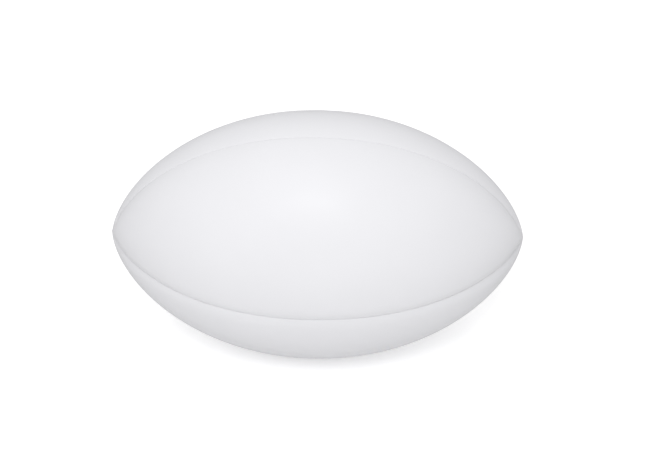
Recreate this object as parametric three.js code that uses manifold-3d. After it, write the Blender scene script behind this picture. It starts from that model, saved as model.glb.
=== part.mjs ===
// A size-5 rugby ball: four sewn cover panels on two bonded cloth plies, round a bladder with its valve.
// Millimetres. The ball's long axis is X, Z is up, and the origin is the middle of the ball.
// The front panel faces -Y and looks ROLL degrees up, which is how the ball lies at rest.
import * as THREE from 'three';
import { mergeVertices } from 'three/addons/utils/BufferGeometryUtils.js';
import Module from 'manifold-3d';

const wasm = await Module();
wasm.setup();

// The ball
const HALF_LENGTH = 149.3;      // middle of the ball to the pole
const HALF_WIDTH = 90;          // axis to the crest of a panel
const TIP_POWER = 1.26;         // over 1 draws the ends out to a soft point
const SIDE_POWER = 0.975;       // just under 1 fills the shoulders
const ROLL = 33.75;             // how far the front panel looks up
const CONTACT_FLAT = 0.4;       // height of the flat the ball's weight presses into its underside

// The panels
const COVER = 1.1;              // cover skin
const PLY = 0.6;                // one cloth ply with its bonding rubber
const LAYER_GAP = 0.3;          // between two layers
const SEAM_GAP = 0.3;           // between the turned edges of two panels
const TURN = 1.6;               // outside radius of a turned cover edge
const TURN_SHARE = 0.35;        // near the poles the turn is this share of the distance to the axis
const TIGHTEST_TURN = 0.3;      // radius left on the inside of a turn
const SEAM_DIP = 1.3;           // how far a panel falls from its crest to its seams, mid-length
const END_DIP = 1.5;            // extra fall near the ends, where the panels bulge as four lobes
const END_DIP_POWER = 4;        // how late along the ball the extra fall sets in
const DIP_FADE = 12;            // within this distance of the axis the fall fades to nothing
const ALLOWANCE = 6;            // depth of the edges turned in along a seam
const ALLOWANCE_AT_POLE = 1.2;  // the allowance is trimmed away towards the poles
const ALLOWANCE_SLOPE = 0.75;
const PLY_TRIM = 0.5;           // each ply's edge stops this much short of the layer outside it
const TIP_HOLE = 2.5;           // the panel tips stop this far from the axis

// The seam threads
const THREAD = 0.45;            // radius
const STITCH_DEPTH = 4.3;       // below the seam line
const THREAD_ENDS = 74;         // latitude, in degrees, where the sewing starts and turns back
const THREAD_TURN = 2.5;        // degrees further on where it passes under the turned edges
const RUN_STEPS = 12;           // divisions of each run
const THREAD_SIDES = 6;

// The bladder
const BLADDER_WALL = 0.9;
const BLADDER_AT_SEAM = 9.4;    // below the seam line, clear of the turned edges
const RIB_HALF_WIDTH = 5.2;     // the bladder keeps this depth across the seam rib
const RIB_FADE = 12;            // and is back against the panel this far from the seam
const VALVE_PIT = 1.6;          // the bladder sits lower under the valve backing
const BLADDER_HALF_STEPS = 4;   // divisions from a panel's middle to its seam

// The valve, in the middle of the top panel
const STEM = 4.5;               // radius of the valve body's stem
const STEM_BORE = 2.2;
const STEM_BELOW_FLANGE = 5;
const STEM_HOLE = 4.9;          // hole for the stem in every layer
const PLUG_SEAT = 3.3;
const PLUG_SEAT_DEPTH = 1.5;
const PLUG_HEAD = 3;
const PLUG_HEAD_THICK = 1.1;
const PLUG_SHANK = 1.9;
const PLUG_LENGTH = 11;
const NEEDLE_HOLE = 0.5;
const VALVE_RECESS = 0.4;       // the stem's top stands this far below the crest
const BACKING_RADIUS = 12;
const BACKING = 0.5;
const PATCH_RADIUS = 12;
const PATCH = 0.8;
const FLANGE_RADIUS = 9;
const FLANGE = 1.2;
const BAR_START = 45;           // cutting bars along the valve's axis run from here to past the crest
const BAR_END = 108;

// How finely the curved pieces are divided
const LENGTH_STEPS = 18;        // pole to pole
const CROWN_STEPS = 8;          // across a panel, between its edges
const TURN_STEPS = 2;           // round a turned cover edge
const CROWN_SHARE = 0.8;        // the crown's own divisions keep to this share of the panel
const EDGE_LIMIT = 0.62;        // sine of the widest angle that the turned edges take near the poles
const ROUND_STEPS = 16;         // round the valve pieces

const TINY = 1e-6;
const RIGHT = Math.PI / 2;
const HALF_PANEL = Math.PI / 4;
const PANELS = ['front', 'top', 'back', 'bottom'];
const PLY_OUTER_TOP = COVER + LAYER_GAP;
const PLY_INNER_TOP = PLY_OUTER_TOP + PLY + LAYER_GAP;
const PANEL_THICK = PLY_INNER_TOP + PLY;
const LINING_DEPTH = PANEL_THICK + LAYER_GAP;

function rad(degrees) {
  return THREE.MathUtils.degToRad(degrees);
}

// The ball's outline at latitude t: distance along the axis, radius, and the outward normal of both
function outline(t) {
  const sine = Math.sin(t);
  const cosine = Math.max(Math.cos(t), TINY);
  const x = HALF_LENGTH * Math.sign(sine) * Math.abs(sine) ** SIDE_POWER;
  const r = HALF_WIDTH * cosine ** TIP_POWER;
  const fromMiddle = Math.max(Math.abs(sine), TINY);
  const xRise = HALF_LENGTH * SIDE_POWER * fromMiddle ** (SIDE_POWER - 1) * cosine;
  const rFall = HALF_WIDTH * TIP_POWER * cosine ** (TIP_POWER - 1) * sine;
  const size = Math.hypot(xRise, rFall);
  return { x, r, nx: rFall / size, nr: xRise / size };
}

// Depth a panel has fallen below the outline at a share of the way from its crest to its seam
function fall(line, share) {
  const ends = Math.abs(line.x / HALF_LENGTH) ** END_DIP_POWER;
  return (SEAM_DIP + END_DIP * ends) * share * share * Math.min(1, line.r / DIP_FADE);
}

// A point of a panel's crown, depth below its outer face
function crown(t, angle, depth) {
  const line = outline(t);
  const below = fall(line, angle / HALF_PANEL) + depth;
  return { x: line.x - line.nx * below, r: line.r - line.nr * below };
}

// Half of the angle that the crown's own divisions span at latitude t
function crownSpan(t) {
  const deepest = SEAM_GAP / 2 + PANEL_THICK + TIGHTEST_TURN;
  const reach = Math.asin(Math.min(EDGE_LIMIT, deepest / outline(t).r));
  return (HALF_PANEL - reach) * CROWN_SHARE;
}

// From distance along the axis, distance out along the seam plane and distance off that plane
function besideSeam(panelAngle, side, x, along, off) {
  const out = along * Math.cos(HALF_PANEL) + off * Math.sin(HALF_PANEL);
  const across = side * (along * Math.sin(HALF_PANEL) - off * Math.cos(HALF_PANEL));
  return new THREE.Vector3(
    x,
    across * Math.sin(panelAngle) - out * Math.cos(panelAngle),
    out * Math.sin(panelAngle) + across * Math.cos(panelAngle),
  );
}

function onPanel(panelAngle, angle, point) {
  const around = panelAngle + angle;
  return new THREE.Vector3(point.x, -point.r * Math.cos(around), point.r * Math.sin(around));
}

function allowance(t) {
  return Math.min(ALLOWANCE, ALLOWANCE_AT_POLE + ALLOWANCE_SLOPE * outline(t).r);
}

// A point of the turned edge: step 0 is its free edge, step 1 to turnSteps + 1 go round the turn
function turnedEdge(panelAngle, side, t, depth, step, turnSteps, trim) {
  const line = outline(t);
  const cornerTurn = Math.max(TIGHTEST_TURN, Math.min(TURN, TURN_SHARE * line.r) - depth);
  const radius = turnSteps === 0 ? 0 : cornerTurn;
  const off = SEAM_GAP / 2 + depth;
  if (step === 0) {
    const below = fall(line, 1) + allowance(t) - trim;
    return besideSeam(panelAngle, side, line.x - line.nx * below, line.r - line.nr * below, off);
  }
  const turned = turnSteps === 0 ? 0 : RIGHT * (turnSteps + 1 - step) / turnSteps;
  const edge = crown(t, HALF_PANEL, depth);
  const drop = radius * (1 - Math.cos(turned));
  const beside = off + radius * (1 - Math.sin(turned));
  const along = Math.sqrt(Math.max(edge.r ** 2 - (off + radius) ** 2, TINY)) - line.nr * drop;
  return besideSeam(panelAngle, side, edge.x - line.nx * drop, along, beside);
}

// Splits the sheet's inner face along the same diagonals as its outer face, so layers nest evenly
function matchDiagonals(sheet) {
  const index = sheet.index;
  const innerFace = sheet.groups[3];
  for (let i = innerFace.start; i < innerFace.start + innerFace.count; i += 6) {
    const [a, b, d, c] = [0, 1, 2, 4].map((k) => index.getX(i + k));
    [a, b, c, a, c, d].forEach((corner, k) => index.setX(i + k, corner));
  }
}

// One layer of a panel: a flat sheet bent over the ball, with both long edges turned in
function panelLayer({ panelAngle, outside, inside, turnSteps, trim, lengthSteps, latitude }) {
  const acrossSteps = CROWN_STEPS + 2 * (turnSteps + 1);
  const sheet = new THREE.BoxGeometry(1, 1, 1, lengthSteps, 1, acrossSteps);
  const position = sheet.attributes.position;
  for (let i = 0; i < position.count; i += 1) {
    const station = Math.round((position.getX(i) + 0.5) * lengthSteps);
    const across = Math.round((0.5 - position.getZ(i)) * acrossSteps);
    const depth = position.getY(i) > 0 ? outside : inside;
    const t = latitude(station);
    const fromEdge = Math.min(across, acrossSteps - across);
    const side = across < acrossSteps / 2 ? -1 : 1;
    let point;
    if (fromEdge < turnSteps + 2) {
      point = turnedEdge(panelAngle, side, t, depth, fromEdge, turnSteps, trim);
    } else {
      const middle = (across - acrossSteps / 2) / (CROWN_STEPS / 2 - 1);
      const angle = middle * crownSpan(t);
      point = onPanel(panelAngle, angle, crown(t, angle, depth));
    }
    position.setXYZ(i, point.x, point.y, point.z);
  }
  matchDiagonals(sheet);
  return sheet;
}

// Latitude of a cover's station: even steps, with the last one at the small hole between the tips
function coverLatitude(station) {
  const even = -RIGHT + Math.PI * station / LENGTH_STEPS;
  const last = Math.acos((TIP_HOLE / HALF_WIDTH) ** (1 / TIP_POWER));
  return THREE.MathUtils.clamp(even, -last, last);
}

// The plies stop one station short of the cover at both ends
function plyLatitude(station) {
  return -RIGHT + Math.PI * (station + 1) / LENGTH_STEPS;
}

function toSolid(geometry) {
  geometry.deleteAttribute('normal');
  geometry.deleteAttribute('uv');
  const merged = mergeVertices(geometry, 1e-5);
  return new wasm.Manifold(new wasm.Mesh({
    numProp: 3,
    vertProperties: new Float32Array(merged.attributes.position.array),
    triVerts: new Uint32Array(merged.index.array),
  }));
}

function toGeometry(solid) {
  const mesh = solid.getMesh();
  const geometry = new THREE.BufferGeometry();
  geometry.setAttribute('position', new THREE.BufferAttribute(mesh.vertProperties, 3));
  geometry.setIndex(new THREE.BufferAttribute(mesh.triVerts, 1));
  geometry.computeVertexNormals();
  return geometry;
}

const valveAngle = rad(ROLL) + RIGHT;

// A closed body shaped like the bladder, extraDepth inside the bladder's own outer face
function bladderBody(extraDepth) {
  const perPanel = 2 * BLADDER_HALF_STEPS;
  const around = PANELS.length * perPanel;
  const ball = new THREE.SphereGeometry(1, around, LENGTH_STEPS);
  const position = ball.attributes.position;
  const point = new THREE.Vector3();
  for (let i = 0; i < position.count; i += 1) {
    point.fromBufferAttribute(position, i);
    const t = Math.asin(THREE.MathUtils.clamp(point.y, -1, 1));
    const turn = Math.round((Math.atan2(point.z, point.x) / (2 * Math.PI) + 1) * around) % around;
    const panel = Math.round(turn / perPanel);
    const step = turn - panel * perPanel;
    const span = crownSpan(t);
    const angles = [0, span * 2 / 3, span, (span + 2 * HALF_PANEL) / 3, HALF_PANEL];
    const angle = Math.sign(step) * angles[Math.abs(step)];
    const line = outline(t);
    const fromSeam = line.r * Math.sin(HALF_PANEL - Math.abs(angle));
    const away = THREE.MathUtils.smoothstep(fromSeam, RIB_HALF_WIDTH, RIB_FADE);
    const panelAngle = valveAngle + panel * RIGHT;
    const atValve = turn % around === 0 && Math.abs(t) < TINY;
    const depth = THREE.MathUtils.lerp(BLADDER_AT_SEAM, LINING_DEPTH, away) + (atValve ? VALVE_PIT : 0);
    const under = crown(t, angle, depth + extraDepth);
    if (Math.abs(point.y) > 1 - TINY) {
      under.r = 0;
    }
    const placed = onPanel(panelAngle, angle, under);
    position.setXYZ(i, placed.x, placed.y, placed.z);
  }
  return toSolid(ball);
}

// A round bar along the valve's axis, between two distances from the ball's middle
function valveBar(radius, from, to) {
  const bar = new THREE.CylinderGeometry(radius, radius, to - from, ROUND_STEPS);
  bar.translate(0, (from + to) / 2, 0);
  bar.rotateX(Math.PI - valveAngle);
  return toSolid(bar);
}

function lookOf(colour, roughness) {
  return new THREE.MeshStandardMaterial({ color: colour, roughness, metalness: 0 });
}

const ball = new THREE.Group();
ball.name = 'rugby_ball';

function addPiece(name, geometry, colour, roughness) {
  const piece = new THREE.Mesh(geometry, lookOf(colour, roughness));
  piece.name = name;
  ball.add(piece);
}

const WHITE = '#ededf0';
const CLOTH = '#dcd3bd';
const YARN = '#e6e2d6';
const BLACK_RUBBER = '#26272a';
const GREY_RUBBER = '#3a3b3f';

const stemHole = valveBar(STEM_HOLE, BAR_START, BAR_END);
const layers = [
  { name: 'cover', outside: 0, inside: COVER, turnSteps: TURN_STEPS, trim: 0 },
  { name: 'ply_outer', outside: PLY_OUTER_TOP, inside: PLY_OUTER_TOP + PLY, turnSteps: 0, trim: PLY_TRIM },
  { name: 'ply_inner', outside: PLY_INNER_TOP, inside: PANEL_THICK, turnSteps: 0, trim: 2 * PLY_TRIM },
];

// Height of the resting plane: the lowest crown corner of the bottom panel, less the pressed flat
function restingHeight(solid) {
  return solid.boundingBox().min[2] + CONTACT_FLAT;
}

for (const layer of layers) {
  PANELS.forEach((place, index) => {
    const isCover = layer.name === 'cover';
    const geometry = panelLayer({
      ...layer,
      panelAngle: rad(ROLL) + index * RIGHT,
      lengthSteps: isCover ? LENGTH_STEPS : LENGTH_STEPS - 2,
      latitude: isCover ? coverLatitude : plyLatitude,
    });
    let solid = toSolid(geometry);
    if (place === 'top') {
      solid = solid.subtract(stemHole);
    }
    if (place === 'bottom' && isCover) {
      const slab = new THREE.BoxGeometry(HALF_WIDTH, HALF_WIDTH, HALF_WIDTH);
      slab.translate(0, 0, restingHeight(solid) - HALF_WIDTH / 2);
      solid = solid.subtract(toSolid(slab));
    }
    addPiece(`${layer.name}_${place}`, toGeometry(solid), isCover ? WHITE : CLOTH, isCover ? 0.42 : 0.9);
  });
}

// A curve whose even steps follow its control points, so that short bends get as many as long runs
class PointwiseCurve extends THREE.CatmullRomCurve3 {
  getPointAt(share, target) {
    return this.getPoint(share, target);
  }

  getTangentAt(share, target) {
    return this.getTangent(share, target);
  }
}

// One thread sews each seam: it runs down one side of the turned edges and back up the other
function threadRun(seamAngle, name) {
  const off = SEAM_GAP / 2 + LINING_DEPTH + THREAD;
  const points = [];
  const seamPoint = (t, depth, beside) => {
    const line = outline(t);
    const below = fall(line, 1) + depth;
    return besideSeam(seamAngle - HALF_PANEL, 1, line.x - line.nx * below, line.r - line.nr * below, beside);
  };
  for (let i = 0; i <= RUN_STEPS; i += 1) {
    points.push(seamPoint(rad(THREAD_ENDS - 2 * THREAD_ENDS * i / RUN_STEPS), STITCH_DEPTH, off));
  }
  const crossing = ALLOWANCE + LAYER_GAP + 2 * THREAD;
  const halfway = STITCH_DEPTH + 2 * THREAD;
  for (const share of [1, 0.75, 0, -0.75, -1]) {
    const outer = Math.abs(share) === 1;
    const latitude = rad(-THREAD_ENDS - THREAD_TURN * (outer ? 0.6 : 1));
    points.push(seamPoint(latitude, outer ? halfway : crossing, off * share));
  }
  for (let i = RUN_STEPS; i >= 0; i -= 1) {
    points.push(seamPoint(rad(THREAD_ENDS - 2 * THREAD_ENDS * i / RUN_STEPS), STITCH_DEPTH, -off));
  }
  const path = new PointwiseCurve(points, false, 'centripetal');
  const section = new THREE.Shape();
  section.absarc(0, 0, THREAD, 0, 2 * Math.PI, false);
  const divisions = { extrudePath: path, steps: points.length - 1, curveSegments: THREAD_SIDES / 2 };
  const tube = new THREE.ExtrudeGeometry(section, divisions);
  addPiece(name, toGeometry(toSolid(tube)), YARN, 0.7);
}

PANELS.forEach((place, index) => {
  const next = PANELS[(index + 1) % PANELS.length];
  threadRun(rad(ROLL) + index * RIGHT + HALF_PANEL, `thread_${place}_${next}`);
});

// The bladder, open where the valve goes through it
const bladderSkin = bladderBody(0);
const bladderRoom = bladderBody(BLADDER_WALL);
addPiece('bladder', toGeometry(bladderSkin.subtract(bladderRoom).subtract(stemHole)), BLACK_RUBBER, 0.6);

// A cloth ring between the top panel and the bladder
const backingSheet = toSolid(panelLayer({
  panelAngle: valveAngle,
  outside: LINING_DEPTH,
  inside: LINING_DEPTH + BACKING,
  turnSteps: 0,
  trim: 2 * PLY_TRIM,
  lengthSteps: LENGTH_STEPS - 2,
  latitude: plyLatitude,
}));
const backingDisc = valveBar(BACKING_RADIUS, BAR_START, BAR_END);
addPiece('valve_backing', toGeometry(backingSheet.intersect(backingDisc).subtract(stemHole)), CLOTH, 0.9);

// A rubber patch inside the bladder, then the valve body's flange against it
const patchTop = BLADDER_WALL + LAYER_GAP;
const flangeTop = patchTop + PATCH + LAYER_GAP;
const patchDisc = valveBar(PATCH_RADIUS, BAR_START, BAR_END);
const patchShell = bladderBody(patchTop).subtract(bladderBody(patchTop + PATCH));
addPiece('valve_patch', toGeometry(patchShell.intersect(patchDisc).subtract(stemHole)), BLACK_RUBBER, 0.6);

const flangeDisc = valveBar(FLANGE_RADIUS, BAR_START, BAR_END);
const flangeShell = bladderBody(flangeTop).subtract(bladderBody(flangeTop + FLANGE));
const stemTop = HALF_WIDTH - VALVE_RECESS;
const stemBottom = HALF_WIDTH - LINING_DEPTH - VALVE_PIT - flangeTop - FLANGE - STEM_BELOW_FLANGE;
const stem = valveBar(STEM, stemBottom, stemTop);
const bore = valveBar(STEM_BORE, stemBottom - 1, stemTop + 1);
const seat = valveBar(PLUG_SEAT, stemTop - PLUG_SEAT_DEPTH, stemTop + 1);
const body = flangeShell.intersect(flangeDisc).add(stem).subtract(bore).subtract(seat);
addPiece('valve_body', toGeometry(body), GREY_RUBBER, 0.55);

// The self-sealing plug, with the needle's channel through it
const plugTop = stemTop - PLUG_SEAT_DEPTH + LAYER_GAP + PLUG_HEAD_THICK;
const plugHead = valveBar(PLUG_HEAD, plugTop - PLUG_HEAD_THICK, plugTop);
const plugShank = valveBar(PLUG_SHANK, plugTop - PLUG_LENGTH, plugTop - PLUG_HEAD_THICK / 2);
const needleHole = valveBar(NEEDLE_HOLE, plugTop - PLUG_LENGTH - 1, plugTop + 1);
addPiece('valve_plug', toGeometry(plugHead.add(plugShank).subtract(needleHole)), GREY_RUBBER, 0.5);

export default ball;
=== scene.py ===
import math

import bpy
import numpy as np
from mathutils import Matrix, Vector


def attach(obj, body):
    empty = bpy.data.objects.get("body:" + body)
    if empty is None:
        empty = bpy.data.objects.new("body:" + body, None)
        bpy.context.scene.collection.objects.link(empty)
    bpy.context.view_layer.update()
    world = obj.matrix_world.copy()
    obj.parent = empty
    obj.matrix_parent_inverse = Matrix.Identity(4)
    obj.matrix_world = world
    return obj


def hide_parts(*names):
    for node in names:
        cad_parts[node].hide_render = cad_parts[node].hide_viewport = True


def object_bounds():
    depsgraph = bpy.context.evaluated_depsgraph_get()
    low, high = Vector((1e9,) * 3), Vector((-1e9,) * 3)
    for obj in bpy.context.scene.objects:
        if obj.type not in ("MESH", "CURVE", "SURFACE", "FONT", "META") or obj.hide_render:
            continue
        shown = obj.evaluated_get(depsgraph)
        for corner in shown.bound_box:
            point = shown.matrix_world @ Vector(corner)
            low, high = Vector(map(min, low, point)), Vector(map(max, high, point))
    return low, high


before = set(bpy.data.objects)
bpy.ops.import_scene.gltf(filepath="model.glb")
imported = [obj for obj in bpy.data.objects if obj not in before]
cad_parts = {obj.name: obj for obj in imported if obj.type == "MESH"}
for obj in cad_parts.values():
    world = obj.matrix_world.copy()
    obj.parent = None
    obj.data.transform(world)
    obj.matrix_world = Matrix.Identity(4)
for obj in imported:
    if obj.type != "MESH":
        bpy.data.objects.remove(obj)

cad_low, cad_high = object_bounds()
FLOOR_Z = cad_low.z
METRES = 0.001

# Camera
CAMERA_DISTANCE = 990.0
CAMERA_ELEVATION = math.radians(30.4)
CAMERA_AZIMUTH = math.radians(1.6)
PIXELS_PER_MM = 1.376
FRAME_WIDTH = 645
AIM_RIGHT = 4.1
AIM_UP = 1.3
SENSOR = 36.0

# The ball, as the CAD has it
HALF_LENGTH = 149.3
HALF_WIDTH = 90.0
TIP_POWER = 1.26                # over 1 draws the ends out to a soft point
SIDE_POWER = 0.975              # just under 1 fills the shoulders
ROLL = math.radians(33.75)      # how far the front panel looks up
COVER = 1.1                     # cover skin
PLY = 0.6                       # one cloth ply
LAYER_GAP = 0.3
SEAM_DIP = 1.3                  # how far a panel falls from its crest to its seams, mid-length
END_DIP = 1.5                   # extra fall near the ends
END_DIP_POWER = 4
DIP_FADE = 12.0
ALLOWANCE = 6.0                 # depth of the edges turned in along a seam
ALLOWANCE_AT_POLE = 1.2
ALLOWANCE_SLOPE = 0.75
PLY_TRIM = 0.5                  # each ply's edge stops this much short of the layer outside it
PLY_OUTER_TOP = COVER + LAYER_GAP
PLY_INNER_TOP = PLY_OUTER_TOP + PLY + LAYER_GAP
PANEL_THICK = PLY_INNER_TOP + PLY
LINING_DEPTH = PANEL_THICK + LAYER_GAP
BLADDER_WALL = 0.9
BLADDER_AT_SEAM = 9.4
RIB_HALF_WIDTH = 5.2
RIB_FADE = 12.0
VALVE_PIT = 1.6
STEM = 4.5
STEM_HOLE = 4.9
STEM_BORE = 2.2
STEM_BELOW_FLANGE = 5.0
PLUG_SEAT = 3.3
PLUG_SEAT_DEPTH = 1.5
PLUG_HEAD = 3.0
PLUG_HEAD_THICK = 1.1
PLUG_SHANK = 1.9
PLUG_LENGTH = 11.0
NEEDLE_HOLE = 0.5
VALVE_RECESS = 0.4
BACKING_RADIUS = 12.0
BACKING = 0.5
PATCH_RADIUS = 12.0
PATCH = 0.8
FLANGE_RADIUS = 9.0
FLANGE = 1.2

# Finer than the CAD
SEAM_GAP = 0.02                 # between the turned edges of two panels
GAP_SHARE = 0.1                 # of the distance to the axis: the most the gap is near the tips
TURN = 0.5                      # outside radius of a turned cover edge
TURN_SHARE = 0.012              # near the tips the turn is this share of the distance to the axis
TIGHTEST_TURN = 0.05            # radius left on the inside of a turn
SKIVED_WITHIN = 6.0             # within this distance of the axis the layers thin out
TIP_HOLE = 0.35                 # the panel tips stop this far from the axis
SHOULDER = 1.2                  # how far a panel rolls over beside a seam that faces straight down
SHOULDER_REACH = 4.5
CREASE = 0.6                    # the sharper fall right beside that seam
CREASE_REACH = 1.5
CALM_WITHIN = 48.0              # within this distance of the axis both fade
CALM_POWER = 1.5
PUCKER = 0.04                   # how far each stitch draws the panel in
PUCKER_REACH = 3.0
STITCH_PITCH = 7.0
LIP_DROP = 0.35                 # the edge of the valve hole is drawn down this far
LIP_WIDTH = 0.6
PIT_REACH = 17.0                # how far round the valve the bladder sits low

# How finely the pieces are divided
PANEL_STATIONS = 200
PLY_STATIONS = 140
BLADDER_STATIONS = 160
BLADDER_PER_PANEL = 48
CROWN_HALF = 22                 # from a panel's crest to its seam
TURN_STEPS = 6
FLAT_STEPS = 3

TINY = 1e-6
HALF_PANEL = math.pi / 4
PANELS = ["front", "top", "back", "bottom"]
VALVE_ANGLE = ROLL + math.pi / 2


# Shape --------------------------------------------------------------------------------------------

def outline(t):
    """Distance along the axis, radius, and both parts of the outward normal at latitude t."""
    sine = np.sin(t)
    cosine = np.maximum(np.cos(t), TINY)
    side = np.maximum(np.abs(sine), TINY)
    x = HALF_LENGTH * np.sign(sine) * np.abs(sine) ** SIDE_POWER
    r = HALF_WIDTH * cosine ** TIP_POWER
    x_rise = HALF_LENGTH * SIDE_POWER * side ** (SIDE_POWER - 1) * cosine
    r_fall = HALF_WIDTH * TIP_POWER * cosine ** (TIP_POWER - 1) * sine
    size = np.hypot(x_rise, r_fall)
    return x, r, r_fall / size, x_rise / size


SAMPLED_T = np.linspace(-math.pi / 2, math.pi / 2, 2001)
SAMPLED_X, SAMPLED_R, _, _ = outline(SAMPLED_T)
SAMPLED_S = np.concatenate(
    [[0], np.cumsum(np.hypot(np.diff(SAMPLED_X), np.diff(SAMPLED_R)))]
)
SAMPLED_S -= SAMPLED_S[-1] / 2


def arc_of(t):
    return np.interp(t, SAMPLED_T, SAMPLED_S)


def latitude_at_arc(s):
    return np.interp(s, SAMPLED_S, SAMPLED_T)


def latitude_at(x):
    return np.interp(x, SAMPLED_X, SAMPLED_T)


def fall(t, share, panel_angle):
    """How far a panel falls below the outline at a share of the way from its crest to its seam."""
    x, r, _, _ = outline(t)
    ends = np.abs(x / HALF_LENGTH) ** END_DIP_POWER
    faded = np.minimum(1, r / DIP_FADE)
    drop = (SEAM_DIP + END_DIP * ends) * share * share * faded
    from_seam = r * HALF_PANEL * (1 - np.minimum(np.abs(share), 1))
    pulled = 0.5 + 0.5 * np.cos(2 * math.pi * arc_of(t) / STITCH_PITCH)
    # The lower a seam lies, the more the panels beside it bulge. Towards the tips they lie flatter.
    seam_angle = panel_angle + HALF_PANEL * np.where(np.asarray(share) < 0, -1, 1)
    lowness = (1 - np.sin(seam_angle)) / 2 * np.minimum(1, r / CALM_WITHIN) ** CALM_POWER
    shoulder = SHOULDER * lowness * np.exp(-((from_seam / SHOULDER_REACH) ** 2))
    crease = CREASE * lowness * np.exp(-((from_seam / CREASE_REACH) ** 2))
    pucker = PUCKER * pulled * np.exp(-((from_seam / PUCKER_REACH) ** 2))
    return drop + (shoulder + crease + pucker) * faded


def skived(t, depth):
    """The layers thin out where the panel tips meet."""
    return depth * np.minimum(1, outline(t)[1] / SKIVED_WITHIN)


def crown(t, angle, depth, panel_angle):
    """Distance along the axis and radius, at a depth under a panel's outside."""
    x, r, nx, nr = outline(t)
    below = fall(t, angle / HALF_PANEL, panel_angle) + depth
    return x - nx * below, r - nr * below


def on_panel(panel_angle, angle, x, r):
    """Points at an angle round the ball from a panel's crest."""
    around = panel_angle + angle
    return np.stack([x, -r * np.cos(around), r * np.sin(around)], -1)


def beside_seam(panel_angle, side, x, along, off):
    """Points at a distance from the axis along a seam's plane, and off that plane towards the panel."""
    out = (along + off) * math.cos(HALF_PANEL)
    across = side * (along - off) * math.sin(HALF_PANEL)
    return np.stack(
        [
            x + 0 * out,
            across * math.sin(panel_angle) - out * math.cos(panel_angle),
            out * math.sin(panel_angle) + across * math.cos(panel_angle),
        ],
        -1,
    )


def gap_at(t):
    """Half of the gap between two panels."""
    return np.minimum(SEAM_GAP, GAP_SHARE * outline(t)[1]) / 2


def turn_radius(t, depth):
    r = outline(t)[1]
    return np.maximum(TIGHTEST_TURN * np.minimum(1, r), np.minimum(TURN, TURN_SHARE * r) - depth)


def allowance(t):
    return np.minimum(ALLOWANCE, ALLOWANCE_AT_POLE + ALLOWANCE_SLOPE * outline(t)[1])


def turned_edge(panel_angle, side, t, depth, trim, turn_steps, flat_steps):
    """Points from the free edge up the flat and round the turn, as an array (station, step, 3)."""
    x, r, nx, nr = outline(t)
    depth = skived(t, depth)
    off = gap_at(t) + depth
    radius = turn_radius(t, depth)
    edge_x, edge_r = crown(t, side * HALF_PANEL, depth, panel_angle)
    rows = []
    for step in range(turn_steps + 1):
        turned = math.pi / 2 * (1 - step / turn_steps)
        drop = radius * (1 - math.cos(turned))
        beside = off + radius * (1 - math.sin(turned))
        along = np.sqrt(np.maximum(edge_r**2 - (off + radius) ** 2, TINY)) - nr * drop
        rows.append((edge_x - nx * drop, along, beside))
    below = fall(t, side, panel_angle) + allowance(t) - trim
    foot_x, foot_along = x - nx * below, r - nr * below
    flat = []
    for step in range(flat_steps):
        share = step / flat_steps
        flat.append(
            (
                foot_x + (rows[0][0] - foot_x) * share,
                foot_along + (rows[0][1] - foot_along) * share,
                off,
            )
        )
    made = [beside_seam(panel_angle, side, a, b, c) for a, b, c in flat + rows]
    return np.stack(made, 1)


SPARE = 0.5
SPARE_SHARE = 0.05
WIDEST_REACH = 0.62


def crown_reach(t, inside):
    """The angle from the seam to where the crown's own divisions begin."""
    r = outline(t)[1]
    deepest = skived(t, inside)
    spare = np.minimum(SPARE, SPARE_SHARE * r)
    widest = gap_at(t) + deepest + turn_radius(t, deepest) + spare
    return np.arcsin(np.minimum(WIDEST_REACH, widest / r))


# Grids and meshes ---------------------------------------------------------------------------------

# Grid lines are counted outwards from the valve, in rings. The last ring is left as it was.
HOLE_RING = 4
HOLE_BLOCK = 10
RING_RADII = {HOLE_RING: STEM_HOLE, HOLE_RING + 1: 5.05, HOLE_RING + 2: 5.5}
BENT_WITHIN = 24.0
RING_SPREAD = 1.35


def open_round_hole(t, angle, row, column):
    """Bends the grid's lines round the valve. Returns each point's ring number, 0 in the middle."""
    ring = np.full(t.shape, HOLE_BLOCK + 1)
    last = max(RING_RADII)
    first_free = RING_RADII[last]
    for i in range(row - HOLE_BLOCK, row + HOLE_BLOCK + 1):
        for j in range(column - HOLE_BLOCK, column + HOLE_BLOCK + 1):
            di, dj = i - row, j - column
            k = max(abs(di), abs(dj))
            ring[i, j] = k
            if k < HOLE_RING or k == HOLE_BLOCK:
                continue
            if abs(di) >= abs(dj):
                bearing = math.pi / 4 * dj / di + (math.pi if di < 0 else 0)
            else:
                bearing = math.pi / 2 * (1 if dj > 0 else -1) - math.pi / 4 * di / dj
            share = max(0, (k - last) / (HOLE_BLOCK - last))
            radius = RING_RADII.get(k, first_free + (BENT_WITHIN - first_free) * share**RING_SPREAD)
            weight = share * share * (3 - 2 * share)
            own_x = outline(t[i, j])[0]
            own_b = angle[i, j] * HALF_WIDTH
            x = (1 - weight) * radius * math.cos(bearing) + weight * own_x
            b = (1 - weight) * radius * math.sin(bearing) + weight * own_b
            t[i, j] = latitude_at(x)
            angle[i, j] = b / HALF_WIDTH
    return ring


def ring_indices(row, column, columns):
    """The hole's edge in order, as flat indices of the grid."""
    k = HOLE_RING
    walk = [(k, j) for j in range(-k, k)]
    walk += [(i, k) for i in range(k, -k, -1)]
    walk += [(-k, j) for j in range(k, -k, -1)]
    walk += [(i, -k) for i in range(-k, k)]
    return [(row + i) * columns + column + j for i, j in walk]


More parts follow.
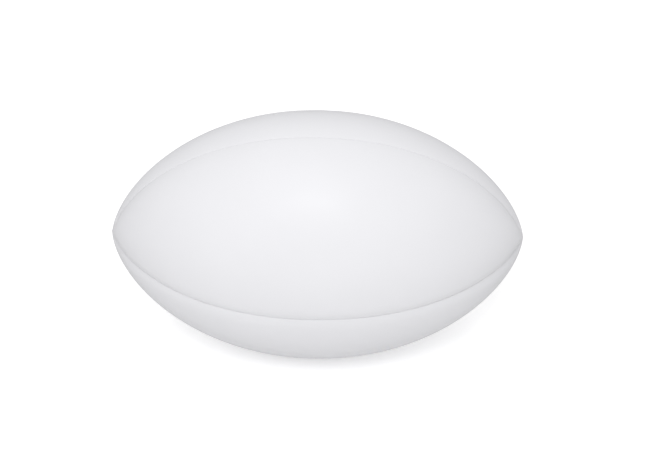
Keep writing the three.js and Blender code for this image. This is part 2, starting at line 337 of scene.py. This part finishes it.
def make_object(name, points, faces, uv, smooth_angle=50):
    """A mesh object in metres from points in millimetres, with one UV per point in metres of surface."""
    used = np.unique(np.concatenate([np.ravel(f) for f in faces]))
    renumber = np.full(len(points), -1)
    renumber[used] = np.arange(len(used))
    faces = [renumber[np.asarray(f)].tolist() for f in faces]
    mesh = bpy.data.meshes.new(name)
    mesh.from_pydata((points[used] * METRES).tolist(), [], faces)
    layer = mesh.uv_layers.new(name="surface")
    corner = np.zeros(len(mesh.loops), np.int32)
    mesh.loops.foreach_get("vertex_index", corner)
    layer.data.foreach_set("uv", (uv[used] * METRES)[corner].astype(np.float32).ravel())
    mesh.update()
    mesh.shade_smooth()
    mesh.set_sharp_from_angle(angle=math.radians(smooth_angle))
    made = bpy.data.objects.new(name, mesh)
    bpy.context.scene.collection.objects.link(made)
    return made


def shell_faces(rows, columns, count, ring, hole, wrap):
    """Quads of a closed shell: the outer grid, the inner grid count points on, and the walls."""
    index = np.arange(rows * columns).reshape(rows, columns)
    right = np.roll(index, -1, 1) if wrap else None
    a = index[:-1, :] if wrap else index[:-1, :-1]
    b = right[:-1, :] if wrap else index[:-1, 1:]
    c = right[1:, :] if wrap else index[1:, 1:]
    d = index[1:, :] if wrap else index[1:, :-1]
    quads = np.stack([a, b, c, d], -1).reshape(-1, 4)
    if ring is not None:
        inside = (ring.ravel()[quads] <= HOLE_RING).all(1)
        quads = quads[~inside]
    outer = quads.tolist()
    inner = (quads[:, ::-1] + count).tolist()
    walls = []

    def wall(line):
        for p, q in zip(line[:-1], line[1:]):
            walls.append([q, p, p + count, q + count])

    if not wrap:
        wall(index[0, :].tolist())
        wall(index[:, -1].tolist())
        wall(index[-1, ::-1].tolist())
        wall(index[::-1, 0].tolist())
    if hole is not None:
        wall(hole + hole[:1])
    return outer + inner + walls


def panel_layer(name, panel_angle, outside, inside, trim, t_end, stations, hole):
    """One layer of a panel, between two depths, with both long edges turned in along the seams."""
    stations_t = np.linspace(-t_end, t_end, stations + 1)
    across = np.linspace(-1, 1, 2 * CROWN_HALF + 1)
    reach = crown_reach(stations_t, inside)
    t = np.repeat(stations_t[:, None], len(across), 1)
    angle = (HALF_PANEL - reach)[:, None] * across[None, :]
    edge_steps = FLAT_STEPS + TURN_STEPS + 1
    ring = None
    if hole:
        ring = open_round_hole(t, angle, stations // 2, CROWN_HALF)
        ring = np.pad(ring, ((0, 0), (edge_steps, edge_steps)), constant_values=HOLE_BLOCK + 1)
    from_valve = np.hypot(outline(t)[0], angle * HALF_WIDTH)
    grids = []
    for depth in (outside, inside):
        lip = 0
        if hole and outside == 0 and depth == 0:
            lip = LIP_DROP * np.clip(1 - (from_valve - STEM_HOLE) / LIP_WIDTH, 0, 1) ** 2
        x, r = crown(t, angle, skived(t, depth) + lip, panel_angle)
        middle = on_panel(panel_angle, angle, x, r)
        low = turned_edge(panel_angle, -1, stations_t, depth, trim, TURN_STEPS, FLAT_STEPS)
        high = turned_edge(panel_angle, 1, stations_t, depth, trim, TURN_STEPS, FLAT_STEPS)
        grids.append(np.concatenate([low, middle, high[:, ::-1]], 1))
    rows, columns = grids[0].shape[:2]
    steps = np.linalg.norm(np.diff(grids[0], axis=1), axis=2)
    v = np.concatenate([np.zeros((rows, 1)), np.cumsum(steps, 1)], 1)
    v -= v[:, columns // 2][:, None]
    u = np.repeat(arc_of(stations_t)[:, None], columns, 1)
    uv = np.stack([u, v], -1).reshape(-1, 2)
    points = np.concatenate([g.reshape(-1, 3) for g in grids])
    if outside == 0:
        points[:, 2] = np.maximum(points[:, 2], FLOOR_Z / METRES)
    hole_edge = None
    if hole:
        hole_edge = ring_indices(stations // 2, CROWN_HALF + edge_steps, columns)
    faces = shell_faces(rows, columns, rows * columns, ring, hole_edge, False)
    return make_object(name, points, faces, np.concatenate([uv, uv]))


def bladder_depth(t, angle_from_crest, from_valve):
    """How deep the bladder lies: close under the plies, but lower at the seams and the valve."""
    from_seam = outline(t)[1] * np.sin(np.maximum(HALF_PANEL - np.abs(angle_from_crest), 0))
    away = np.clip((from_seam - RIB_HALF_WIDTH) / (RIB_FADE - RIB_HALF_WIDTH), 0, 1)
    away = away * away * (3 - 2 * away)
    pit = VALVE_PIT * np.exp(-((from_valve / PIT_REACH) ** 2) * 2)
    return BLADDER_AT_SEAM + (LINING_DEPTH - BLADDER_AT_SEAM) * away + pit


BLADDER_END = math.radians(88.5)
BLADDER_NARROWEST = 0.05


def bladder_shell(name):
    """The bladder's wall, open where the valve body comes through."""
    around = len(PANELS) * BLADDER_PER_PANEL
    stations = BLADDER_STATIONS
    t = np.repeat(np.linspace(-BLADDER_END, BLADDER_END, stations + 1)[:, None], around, 1)
    turn = (np.arange(around) - around // 2) * 2 * math.pi / around
    angle = np.repeat(turn[None, :], stations + 1, 0)
    ring = open_round_hole(t, angle, stations // 2, around // 2)
    from_crest = (angle + HALF_PANEL) % (2 * HALF_PANEL) - HALF_PANEL
    from_valve = np.hypot(outline(t)[0], angle * HALF_WIDTH)
    grids = []
    for extra in (0, BLADDER_WALL):
        depth = bladder_depth(t, from_crest, from_valve) + extra
        x, r, nx, nr = outline(t)
        below = fall(t, from_crest / HALF_PANEL, VALVE_ANGLE + angle - from_crest) + depth
        radius = np.maximum(r - nr * below, BLADDER_NARROWEST)
        grids.append(on_panel(VALVE_ANGLE, angle, x - nx * below, radius))
    rows, columns = t.shape
    points = np.concatenate([g.reshape(-1, 3) for g in grids])
    uv = np.stack([arc_of(t), angle * HALF_WIDTH], -1).reshape(-1, 2)
    hole_edge = ring_indices(stations // 2, around // 2, columns)
    count = rows * columns
    faces = shell_faces(rows, columns, count, ring, hole_edge, True)
    first, last = list(range(columns)), list(range(count - columns, count))
    faces += [first[::-1], last]
    faces += [[p + count for p in first], [p + count for p in last[::-1]]]
    return make_object(name, points, faces, np.concatenate([uv, uv]))


VALVE_OUT = np.array([0, -math.cos(VALVE_ANGLE), math.sin(VALVE_ANGLE)])
VALVE_ACROSS = np.array([0, math.sin(VALVE_ANGLE), math.cos(VALVE_ANGLE)])


def straight_from_valve(a, b, depth):
    """Points a along the ball and b across it from the valve's axis, on a flat plane at a depth."""
    along = np.stack([a, 0 * a, 0 * a], -1)
    return along + b[:, None] * VALVE_ACROSS + (HALF_WIDTH - depth)[:, None] * VALVE_OUT


def conform_to_panel(a, b, depth):
    """The same points, at the same depth under the crowned panel."""
    t = latitude_at(a)
    angle = b / HALF_WIDTH
    x, r = crown(t, angle, depth, VALVE_ANGLE)
    return on_panel(VALVE_ANGLE, angle, x, r)


MOST_OF_SIDE = 0.45


def rounded(profile, radius, steps=4):
    """Rounds the corners of a closed profile of (distance from the valve's axis, depth) points."""
    made = []
    n = len(profile)
    for i, corner in enumerate(profile):
        p = np.array(corner, float)
        before = np.array(profile[i - 1], float) - p
        after = np.array(profile[(i + 1) % n], float) - p
        shorter = min(np.linalg.norm(before) * MOST_OF_SIDE, np.linalg.norm(after) * MOST_OF_SIDE)
        cut = min(radius, shorter)
        start = p + before / np.linalg.norm(before) * cut
        end = p + after / np.linalg.norm(after) * cut
        for k in range(steps + 1):
            s = k / steps
            made.append((1 - s) ** 2 * start + 2 * s * (1 - s) * p + s * s * end)
    return made


def turned_piece(name, profile, bend, around=64):
    """A closed ring turned round the valve's axis. bend says how far each distance follows the panel."""
    rows = len(profile)
    distance = np.array([p[0] for p in profile])
    depth = np.array([p[1] for p in profile])
    bearing = np.arange(around) * 2 * math.pi / around
    a = (distance[:, None] * np.cos(bearing)[None, :]).ravel()
    b = (distance[:, None] * np.sin(bearing)[None, :]).ravel()
    d = np.repeat(depth, around)
    far = np.repeat(distance, around)
    share = bend(far)[:, None]
    points = straight_from_valve(a, b, d) * (1 - share) + conform_to_panel(a, b, d) * share
    sides = np.diff(np.stack([distance, depth], 1), axis=0)
    walked = np.concatenate([[0], np.cumsum(np.linalg.norm(sides, axis=1))])
    uv = np.stack([np.repeat(walked, around), np.tile(bearing, rows) * 4], -1)
    faces = []
    for i in range(rows):
        for j in range(around):
            p, q = i * around + j, i * around + (j + 1) % around
            k = (i + 1) % rows
            faces.append([p, q, k * around + (j + 1) % around, k * around + j])
    return make_object(name, points, faces, uv, 40)


def sweep(paths, radius, sides=8):
    """Tubes along the paths, closed at both ends."""
    points, faces, uv = [], [], []
    for path in paths:
        base = len(points)
        n = len(path)
        tangent = np.gradient(path, axis=0)
        tangent /= np.linalg.norm(tangent, axis=1)[:, None]
        normal = np.cross(tangent[0], [1.0, 0.3, 0.2])
        normal /= np.linalg.norm(normal)
        walked = 0.0
        for i in range(n):
            normal = normal - tangent[i] * np.dot(normal, tangent[i])
            normal /= np.linalg.norm(normal)
            binormal = np.cross(tangent[i], normal)
            if i:
                walked += np.linalg.norm(path[i] - path[i - 1])
            for k in range(sides):
                turn = 2 * math.pi * k / sides
                spoke = math.cos(turn) * normal + math.sin(turn) * binormal
                points.append(path[i] + radius * spoke)
                uv.append((walked, radius * turn))
        for i in range(n - 1):
            for k in range(sides):
                m = (k + 1) % sides
                p, q = base + i * sides, base + (i + 1) * sides
                faces.append([p + k, p + m, q + m, q + k])
        faces.append([base + k for k in range(sides)][::-1])
        faces.append([base + (n - 1) * sides + k for k in range(sides)])
    return np.array(points), faces, np.array(uv)


def smooth_path(points, per_gap=3):
    """A Catmull-Rom curve through the points."""
    p = np.concatenate([[2 * points[0] - points[1]], points, [2 * points[-1] - points[-2]]])
    made = []
    for i in range(1, len(p) - 2):
        for k in range(per_gap):
            s = k / per_gap
            made.append(
                0.5
                * (
                    2 * p[i]
                    + (p[i + 1] - p[i - 1]) * s
                    + (2 * p[i - 1] - 5 * p[i] + 4 * p[i + 1] - p[i + 2]) * s * s
                    + (3 * p[i] - p[i - 1] - 3 * p[i + 1] + p[i + 2]) * s**3
                )
            )
    made.append(p[-2])
    return np.array(made)


YARN = 0.36                     # radius
STITCH_DEPTH = 4.3              # below the seam line
SEWN_TO = math.radians(76)
YARN_SHIFT = 0.4                # the two yarns pass through a hole this far to each side of its middle
THROUGH_SHARE = 0.6             # how much of the edges' thickness the points inside a hole span
STITCH_SHARES = (0.08, 0.3, 0.5, 0.7, 0.92)
STITCH_BOW = 0.12               # how far a stitch stands off the cloth in the middle
YARN_SPREAD = 0.1               # keeps the two yarns apart where their stitches overlap


def seam_stitches(name, seam_angle):
    """A saddle stitch: two yarns that change sides through the turned edges at every hole."""
    reach = arc_of(SEWN_TO)
    holes = np.arange(-int(reach / STITCH_PITCH), int(reach / STITCH_PITCH) + 1) * STITCH_PITCH

    def at(s, off, extra):
        t = latitude_at_arc(np.array([s]))
        x, r, nx, nr = outline(t)
        below = fall(t, 1.0, seam_angle - HALF_PANEL) + STITCH_DEPTH + extra
        return beside_seam(seam_angle - HALF_PANEL, 1, x - nx * below, r - nr * below, off)[0]

    face = gap_at(np.array([0.0]))[0] + PANEL_THICK + YARN
    paths = []
    for yarn, first_side in ((0, 1), (1, -1)):
        side = first_side
        shift = YARN_SHIFT * (1 if yarn else -1)
        points = []
        for i, s in enumerate(holes):
            points.append(at(s + shift, -side * face * THROUGH_SHARE, 0))
            points.append(at(s + shift, side * face * THROUGH_SHARE, 0))
            if i + 1 < len(holes):
                for share in STITCH_SHARES:
                    lift = STITCH_BOW * math.sin(math.pi * share)
                    along = s + shift + share * STITCH_PITCH
                    points.append(at(along, side * (face + lift), YARN_SPREAD * shift))
            side = -side
        paths.append(smooth_path(np.array(points)))
    points, faces, uv = sweep(paths, YARN)
    return make_object(name, points, faces, uv, 60)


# Materials ----------------------------------------------------------------------------------------

class Nodes:
    """Short calls that add nodes to one material."""

    def __init__(self, name):
        self.material = bpy.data.materials.new(name)
        self.material.use_nodes = True
        self.tree = self.material.node_tree
        self.shader = self.tree.nodes["Principled BSDF"]

    def add(self, kind, **values):
        node = self.tree.nodes.new(kind)
        for key, value in values.items():
            setattr(node, key, value)
        return node

    def link(self, source, target):
        self.tree.links.new(source, target)

    def coordinates(self, kind="Object"):
        return self.add("ShaderNodeTexCoord").outputs[kind]

    def noise(self, vector, scale, detail=2.0, roughness=0.5):
        node = self.add("ShaderNodeTexNoise")
        node.inputs["Scale"].default_value = scale
        node.inputs["Detail"].default_value = detail
        node.inputs["Roughness"].default_value = roughness
        self.link(vector, node.inputs["Vector"])
        return node.outputs["Fac"]

    def cells(self, vector, scale, feature="SMOOTH_F1"):
        node = self.add("ShaderNodeTexVoronoi", feature=feature)
        node.inputs["Scale"].default_value = scale
        self.link(vector, node.inputs["Vector"])
        return node.outputs["Distance"]

    def math(self, operation, a, b=None):
        node = self.add("ShaderNodeMath", operation=operation)
        for slot, value in ((0, a), (1, b)):
            if value is None:
                continue
            if isinstance(value, (int, float)):
                node.inputs[slot].default_value = value
            else:
                self.link(value, node.inputs[slot])
        return node.outputs[0]

    def ramp(self, factor, low, high, start=0.0, end=1.0):
        node = self.add("ShaderNodeValToRGB")
        node.color_ramp.elements[0].position = start
        node.color_ramp.elements[1].position = end
        node.color_ramp.elements[0].color = (*low, 1)
        node.color_ramp.elements[1].color = (*high, 1)
        self.link(factor, node.inputs["Fac"])
        return node.outputs["Color"]

    def range(self, factor, low, high, start=0.0, end=1.0):
        node = self.add("ShaderNodeMapRange")
        node.inputs["From Min"].default_value = start
        node.inputs["From Max"].default_value = end
        node.inputs["To Min"].default_value = low
        node.inputs["To Max"].default_value = high
        self.link(factor, node.inputs["Value"])
        return node.outputs["Result"]

    def bump(self, height, distance, strength=1.0, under=None):
        node = self.add("ShaderNodeBump")
        node.inputs["Distance"].default_value = distance
        node.inputs["Strength"].default_value = strength
        self.link(height, node.inputs["Height"])
        if under is not None:
            self.link(under, node.inputs["Normal"])
        return node.outputs["Normal"]

    def set(self, **values):
        for key, value in values.items():
            self.shader.inputs[key.replace("_", " ")].default_value = value

    def feed(self, socket, source):
        self.link(source, self.shader.inputs[socket])


def cover_material():
    n = Nodes("cover_synthetic_leather")
    at = n.coordinates()
    wide = n.noise(at, 22, 2)
    n.feed("Base Color", n.ramp(wide, (0.603, 0.602, 0.621), (0.609, 0.608, 0.627), 0.35, 0.65))
    patchy = n.noise(at, 90, 3)
    n.feed("Roughness", n.range(patchy, 0.36, 0.46, 0.3, 0.7))
    pores = n.cells(at, 1500)
    fine = n.noise(at, 3200, 2)
    grain = n.math("ADD", n.math("MULTIPLY", pores, 0.8), n.math("MULTIPLY", fine, 0.4))
    soft = n.bump(wide, 0.0002, 0.1)
    n.feed("Normal", n.bump(grain, 0.00003, 0.5, soft))
    n.set(Specular_IOR_Level=0.35)
    return n.material


CLOTH_PITCH = 0.0008            # metres from thread to thread
YARN_LAY = 0.0013               # metres along the yarn for one turn of its strands
YARN_STRANDS = 3


def cloth_material(name, low, high):
    n = Nodes(name)
    split = n.add("ShaderNodeSeparateXYZ")
    n.link(n.coordinates("UV"), split.inputs[0])
    warp = n.math("SINE", n.math("MULTIPLY", split.outputs["X"], 2 * math.pi / CLOTH_PITCH))
    weft = n.math("SINE", n.math("MULTIPLY", split.outputs["Y"], 2 * math.pi / CLOTH_PITCH))
    over = n.math("MULTIPLY", warp, weft)
    height = n.math("ADD", n.math("MAXIMUM", warp, weft), n.math("MULTIPLY", over, 0.4))
    slub = n.noise(n.coordinates(), 260, 3)
    woven = n.range(over, 0, 1, -1, 1)
    tone = n.math("ADD", n.math("MULTIPLY", woven, 0.5), n.math("MULTIPLY", slub, 0.5))
    n.feed("Base Color", n.ramp(tone, low, high, 0.25, 0.75))
    n.feed("Roughness", n.range(slub, 0.82, 0.96, 0.3, 0.7))
    n.feed("Normal", n.bump(height, 0.00006, 0.7))
    n.set(Sheen_Weight=0.15)
    return n.material


def yarn_material():
    n = Nodes("waxed_yarn")
    split = n.add("ShaderNodeSeparateXYZ")
    n.link(n.coordinates("UV"), split.inputs[0])
    lay = n.math("MULTIPLY", split.outputs["X"], 2 * math.pi / YARN_LAY)
    turn = n.math("MULTIPLY", split.outputs["Y"], YARN_STRANDS / (YARN * METRES))
    strand = n.math("SINE", n.math("ADD", lay, turn))
    fuzz = n.noise(n.coordinates(), 1400, 3)
    tone = n.math("ADD", n.range(strand, 0, 0.7, -1, 1), n.math("MULTIPLY", fuzz, 0.3))
    n.feed("Base Color", n.ramp(tone, (0.52, 0.48, 0.38), (0.80, 0.77, 0.68), 0.1, 0.8))
    n.feed("Roughness", n.range(fuzz, 0.5, 0.7, 0.3, 0.7))
    n.feed("Normal", n.bump(strand, 0.00008, 0.8))
    return n.material


def rubber_material(name, low, high, rough_low, rough_high, grain):
    n = Nodes(name)
    at = n.coordinates()
    dust = n.noise(at, 60, 4, 0.6)
    n.feed("Base Color", n.ramp(dust, low, high, 0.4, 0.7))
    n.feed("Roughness", n.range(dust, rough_low, rough_high, 0.35, 0.7))
    fine = n.math("ADD", n.noise(at, 2200, 2), n.math("MULTIPLY", n.cells(at, 700), 0.6))
    n.feed("Normal", n.bump(fine, grain, 0.5))
    return n.material


# Build --------------------------------------------------------------------------------------------

def camera():
    """Looks at the ball from a little above, with the aim shifted sideways and up in its own plane."""
    cam = bpy.data.cameras.new("camera")
    cam.sensor_width = SENSOR
    cam.lens = PIXELS_PER_MM * CAMERA_DISTANCE * SENSOR / FRAME_WIDTH
    holder = bpy.data.objects.new("camera", cam)
    bpy.context.scene.collection.objects.link(holder)
    back = Vector(
        (
            math.sin(CAMERA_AZIMUTH) * math.cos(CAMERA_ELEVATION),
            -math.cos(CAMERA_AZIMUTH) * math.cos(CAMERA_ELEVATION),
            math.sin(CAMERA_ELEVATION),
        )
    )
    right = Vector((math.cos(CAMERA_AZIMUTH), math.sin(CAMERA_AZIMUTH), 0))
    up = back.cross(right)
    holder.location = (back * CAMERA_DISTANCE + right * AIM_RIGHT + up * AIM_UP) * METRES
    holder.rotation_euler = (math.pi / 2 - CAMERA_ELEVATION, 0, CAMERA_AZIMUTH)
    bpy.context.scene.camera = holder


camera()

cover = cover_material()
cloth_outer = cloth_material("bonded_cotton_ply", (0.42, 0.36, 0.25), (0.62, 0.55, 0.41))
cloth_inner = cloth_material("polyester_cotton_ply", (0.48, 0.44, 0.35), (0.68, 0.64, 0.53))
yarn = yarn_material()
bladder_rubber = rubber_material(
    "bladder_rubber", (0.012, 0.012, 0.014), (0.045, 0.046, 0.05), 0.5, 0.75, 0.00006
)
valve_rubber = rubber_material(
    "valve_rubber", (0.03, 0.031, 0.035), (0.05, 0.052, 0.058), 0.42, 0.6, 0.00003
)


def finish_piece(piece, node, material):
    """Gives a piece its material, hangs it from the root body, and hides the CAD part it takes the place
    of.
    """
    piece.data.materials.append(material)
    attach(piece, "root")
    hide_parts(node)


COVER_END = math.acos((TIP_HOLE / HALF_WIDTH) ** (1 / TIP_POWER))
PLY_END = math.radians(80)

for number, place in enumerate(PANELS):
    panel_angle = ROLL + number * math.pi / 2
    opened = place == "top"
    layers = [
        ("panel", "cover", "cover", cover, 0, COVER, 0, COVER_END, PANEL_STATIONS),
        (
            "outer_cloth", "ply_outer", "cloth_ply", cloth_outer,
            PLY_OUTER_TOP, PLY_OUTER_TOP + PLY, PLY_TRIM, PLY_END, PLY_STATIONS,
        ),
        (
            "inner_cloth", "ply_inner", "cloth_ply", cloth_inner,
            PLY_INNER_TOP, PANEL_THICK, 2 * PLY_TRIM, PLY_END, PLY_STATIONS,
        ),
    ]
    for name, node, slot, material, top, bottom, trim, end, stations in layers:
        piece = panel_layer(f"{name}_{place}", panel_angle, top, bottom, trim, end, stations, opened)
        finish_piece(piece, f"{node}_{place}", material)
    after = PANELS[(number + 1) % len(PANELS)]
    piece = seam_stitches(f"stitching_{place}_{after}", panel_angle + HALF_PANEL)
    finish_piece(piece, f"thread_{place}_{after}", yarn)

finish_piece(bladder_shell("air_bladder"), "bladder", bladder_rubber)


DISC_STEPS = 6
FOLLOWS_OVER = 2.0              # outside the stem, the flange bends to the panel within this distance


def disc_profile(inner, outer, top, bottom, corner):
    """A flat ring between two distances and two depths, with its corners rounded."""
    width = outer - inner
    upper = [(inner + width * k / DISC_STEPS, top) for k in range(DISC_STEPS + 1)]
    lower = [(outer - width * k / DISC_STEPS, bottom) for k in range(DISC_STEPS + 1)]
    return rounded(upper + lower, corner, 2)


def follow_fully(distance):
    return np.ones_like(distance)


def follow_beyond_stem(distance):
    return np.clip((distance - STEM) / FOLLOWS_OVER, 0, 1)


def follow_not(distance):
    return np.zeros_like(distance)


ring = turned_piece(
    "valve_backing_ring",
    disc_profile(STEM_HOLE, BACKING_RADIUS, LINING_DEPTH, LINING_DEPTH + BACKING, 0.1),
    follow_fully,
)
finish_piece(ring, "valve_backing", cloth_inner)

patch_top = LINING_DEPTH + VALVE_PIT + BLADDER_WALL + LAYER_GAP
patch = turned_piece(
    "valve_patch_disc",
    disc_profile(STEM_HOLE, PATCH_RADIUS, patch_top, patch_top + PATCH, 0.25),
    follow_fully,
)
finish_piece(patch, "valve_patch", bladder_rubber)

FLANGE_ROOT = 6.5               # the flange keeps its thickness out to here, then thins to its rim
FLANGE_SLOPE = 0.3
flange_top = patch_top + PATCH + LAYER_GAP
stem_bottom = flange_top + FLANGE + STEM_BELOW_FLANGE
seat_bottom = VALVE_RECESS + PLUG_SEAT_DEPTH
body_profile = [
    (STEM_BORE, stem_bottom),
    (STEM_BORE, seat_bottom),
    (PLUG_SEAT, seat_bottom),
    (PLUG_SEAT, VALVE_RECESS),
    (STEM, VALVE_RECESS),
    (STEM, flange_top),
    (FLANGE_ROOT, flange_top),
    (FLANGE_RADIUS, flange_top + FLANGE_SLOPE),
    (FLANGE_RADIUS, flange_top + FLANGE),
    (FLANGE_ROOT, flange_top + FLANGE),
    (STEM, flange_top + FLANGE),
    (STEM, stem_bottom),
]
body = turned_piece("valve_stem", rounded(body_profile[::-1], 0.35), follow_beyond_stem)
finish_piece(body, "valve_body", valve_rubber)

FUNNEL_DEPTH = 0.9              # the plug's top is dished, with a funnel that leads a needle to the hole
DISH_RADIUS = 1.1
DISH_DEPTH = 0.2
RIM_RADIUS = 2.2
RIM_SLOPE = 0.15
plug_top = seat_bottom - LAYER_GAP - PLUG_HEAD_THICK
plug_profile = [
    (NEEDLE_HOLE, plug_top + PLUG_LENGTH),
    (NEEDLE_HOLE, plug_top + FUNNEL_DEPTH),
    (DISH_RADIUS, plug_top + DISH_DEPTH),
    (RIM_RADIUS, plug_top),
    (PLUG_HEAD, plug_top + RIM_SLOPE),
    (PLUG_HEAD, plug_top + PLUG_HEAD_THICK),
    (PLUG_SHANK, plug_top + PLUG_HEAD_THICK),
    (PLUG_SHANK, plug_top + PLUG_LENGTH),
]
plug = turned_piece("valve_core", rounded(plug_profile[::-1], 0.3), follow_not)
finish_piece(plug, "valve_plug", valve_rubber)


# Floor and light ----------------------------------------------------------------------------------

# These lengths are metres.
FLOOR_TONE = 0.9
FLOOR_GLOW = 0.305
FLOOR_HALF = 6.0
SKY = 0.7
BACKDROP_GLOW = FLOOR_GLOW + FLOOR_TONE * SKY
ROOM_GLOW = 0.47
DOME_RADIUS = 5.9
DOME_SIDES = 64
DOME_LEVELS = 32
LIGHT_DISTANCE = 1.8


def floor():
    """A plain pale floor that glows a little, so that the ball's underside is lit."""
    n = Nodes("studio_floor")
    n.set(Base_Color=(FLOOR_TONE, FLOOR_TONE, FLOOR_TONE, 1), Roughness=1.0)
    n.set(Emission_Color=(1, 1, 1, 1), Emission_Strength=FLOOR_GLOW)
    n.set(Specular_IOR_Level=0.0)
    mesh = bpy.data.meshes.new("floor")
    signs = ((-1, -1), (1, -1), (1, 1), (-1, 1))
    corners = [(a * FLOOR_HALF, b * FLOOR_HALF, FLOOR_Z) for a, b in signs]
    mesh.from_pydata(corners, [], [(0, 1, 2, 3)])
    made = bpy.data.objects.new("floor", mesh)
    bpy.context.scene.collection.objects.link(made)
    mesh.materials.append(n.material)
    return made


def dome(name, glow, in_gloss):
    """A pale sphere round everything, seen by the camera or in gloss only. It stops no light."""
    n = Nodes(name)
    n.set(Base_Color=(0, 0, 0, 1), Roughness=1.0, Specular_IOR_Level=0.0)
    n.set(Emission_Color=(1, 1, 1, 1), Emission_Strength=glow)
    points = []
    for level in range(DOME_LEVELS + 1):
        rise = math.pi * (level / DOME_LEVELS - 0.5)
        flat = DOME_RADIUS * math.cos(rise) + TINY
        for side in range(DOME_SIDES):
            turn = 2 * math.pi * side / DOME_SIDES
            points.append((flat * math.cos(turn), flat * math.sin(turn), DOME_RADIUS * math.sin(rise)))
    faces = []
    for level in range(DOME_LEVELS):
        for side in range(DOME_SIDES):
            p = level * DOME_SIDES + side
            q = level * DOME_SIDES + (side + 1) % DOME_SIDES
            faces.append((p, q, q + DOME_SIDES, p + DOME_SIDES))
    mesh = bpy.data.meshes.new(name)
    mesh.from_pydata(points, [], faces)
    mesh.shade_smooth()
    mesh.materials.append(n.material)
    made = bpy.data.objects.new(name, mesh)
    bpy.context.scene.collection.objects.link(made)
    made.visible_camera = not in_gloss
    made.visible_glossy = in_gloss
    made.visible_diffuse = False
    made.visible_transmission = False
    made.visible_shadow = False


def softbox(name, azimuth, elevation, size, power, glints=False, spared=None):
    """A square light aimed at the ball. Without glints it leaves no highlight.

    A spared object isn't lit by it.
    """
    light = bpy.data.lights.new(name, "AREA")
    light.size = size
    light.energy = power
    holder = bpy.data.objects.new(name, light)
    bpy.context.scene.collection.objects.link(holder)
    a, e = math.radians(azimuth), math.radians(elevation)
    away = Vector((math.sin(a) * math.cos(e), -math.cos(a) * math.cos(e), math.sin(e)))
    holder.location = away * LIGHT_DISTANCE
    holder.rotation_euler = (-away).to_track_quat("-Z", "Y").to_euler()
    holder.visible_glossy = glints
    if spared is not None:
        left_out = bpy.data.collections.new(name + "_spares")
        left_out.objects.link(spared)
        left_out.collection_objects[0].light_linking.link_state = "EXCLUDE"
        holder.light_linking.receiver_collection = left_out


ground = floor()
ground.visible_glossy = False
dome("backdrop", BACKDROP_GLOW, in_gloss=False)
dome("room_in_gloss", ROOM_GLOW, in_gloss=True)
world = bpy.data.worlds.new("studio")
bpy.context.scene.world = world
world.use_nodes = True
sky = world.node_tree.nodes["Background"]
sky.inputs["Color"].default_value = (1, 1, 1, 1)
sky.inputs["Strength"].default_value = SKY
softbox("key", -5, 57.8, 0.4, 4.0, glints=True, spared=ground)
softbox("front", -5, 45, 0.8, 14.4)
softbox("rear", 180, 60, 0.8, 1.8)
softbox("overhead_fill", -5, 80, 0.8, 4.0, spared=ground)
softbox("rear_fill", 180, 60, 0.8, 3.0, spared=ground)
bpy.context.scene.view_settings.view_transform = "Standard"
